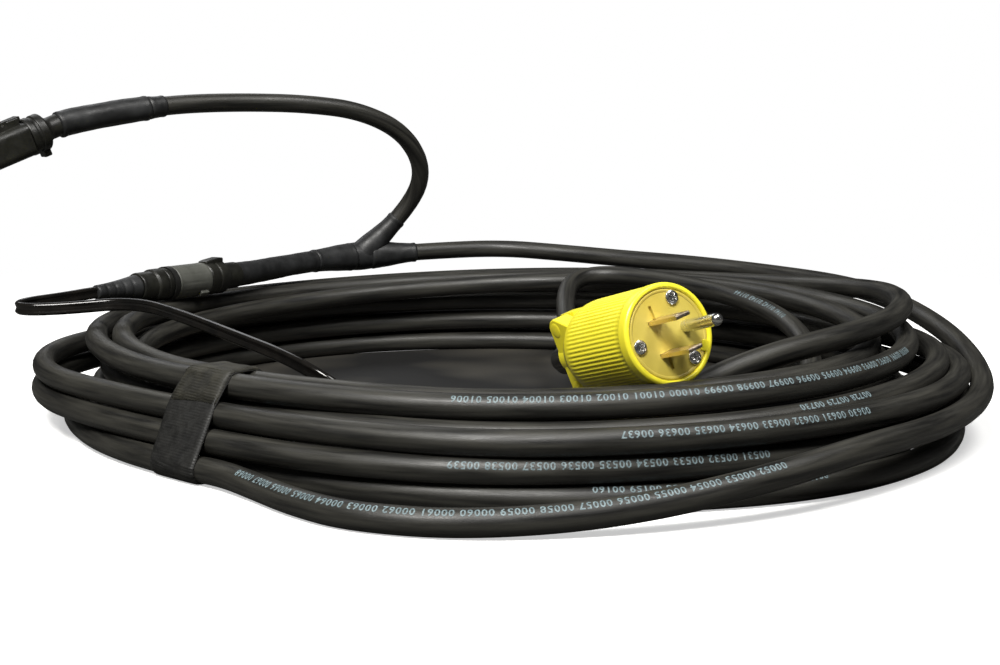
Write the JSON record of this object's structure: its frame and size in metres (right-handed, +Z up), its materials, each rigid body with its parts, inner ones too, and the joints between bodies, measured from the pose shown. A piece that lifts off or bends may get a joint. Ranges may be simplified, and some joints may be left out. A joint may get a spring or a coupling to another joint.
{
  "type": "shore power cord",
  "caption": "Rubber power cord in a loose floor coil, with a yellow three-pin plug, a Y split, two plug-in connectors and a tape wrap.",
  "frame": {"origin": "on the floor, under the middle of the box around the whole cord", "axes": "+X to the right and +Y away from the viewer of the picture, +Z up"},
  "size_m": [0.4884, 0.4551, 0.149],
  "materials": {
    "cord_rubber": "satin, dusty",
    "boot_rubber": "satin",
    "plug_yellow": "gloss",
    "face_mustard": "satin",
    "carrier_plastic": "matte",
    "contact_brass": "polished",
    "plated_steel": "plated",
    "wire_black": "satin",
    "wire_white": "satin",
    "wire_green": "satin",
    "connector_black": "fine matte",
    "collar_grey": "satin",
    "seal_rubber": "matte",
    "thin_vinyl": "gloss",
    "tape_cloth": "woven, matte"
  },
  "bodies": {
    "cord": {"cord_coil": "cord_rubber", "plug_lead": "cord_rubber", "outer_turn": "cord_rubber", "branch_side": "cord_rubber", "branch_arch": "cord_rubber", "split_boot": "boot_rubber", "sleeve_a": "boot_rubber", "sleeve_b": "boot_rubber", "plug_shell": "plug_yellow", "cord_clamp_bar": "plug_yellow", "plug_face": "face_mustard", "contact_carrier": "carrier_plastic", "blade_hot": "contact_brass", "blade_neutral": "contact_brass", "ground_pin": "plated_steel", "face_screws": "plated_steel", "terminal_screws": "plated_steel", "clamp_screws": "plated_steel", "conductor_black": "wire_black", "conductor_white": "wire_white", "conductor_green": "wire_green", "shell_a": "connector_black", "body_a": "connector_black", "latch_pin_a": "plated_steel", "seal_a": "seal_rubber", "contacts_a": "contact_brass", "body_b": "connector_black", "seal_b": "seal_rubber", "mate_body_b": "connector_black", "contacts_b": "contact_brass", "mate_boot_b": "boot_rubber", "thin_cord": "thin_vinyl", "thin_plug": "connector_black", "thin_barrel": "plated_steel", "tape_band": "tape_cloth", "tape_tail": "tape_cloth"},
    "collar": {"collar_b": "collar_grey"},
    "latch": {"latch_a": "connector_black"}
  },
  "joints": [
    {"name": "collar_twist", "type": "hinge", "parent": "cord", "child": "collar", "pos_m": [-0.13851, 0.08598, 0.0518], "axis": [-0.538, -0.843, 0], "range_deg": [0, 90]},
    {"name": "latch_press", "type": "hinge", "parent": "cord", "child": "latch", "pos_m": [-0.22263, 0.05572, 0.13162], "axis": [-0.663, 0.7486, 0], "range_deg": [0, 6], "stiffness_Nm_per_rad": 0.05, "springref_deg": -1.72}
  ]
}
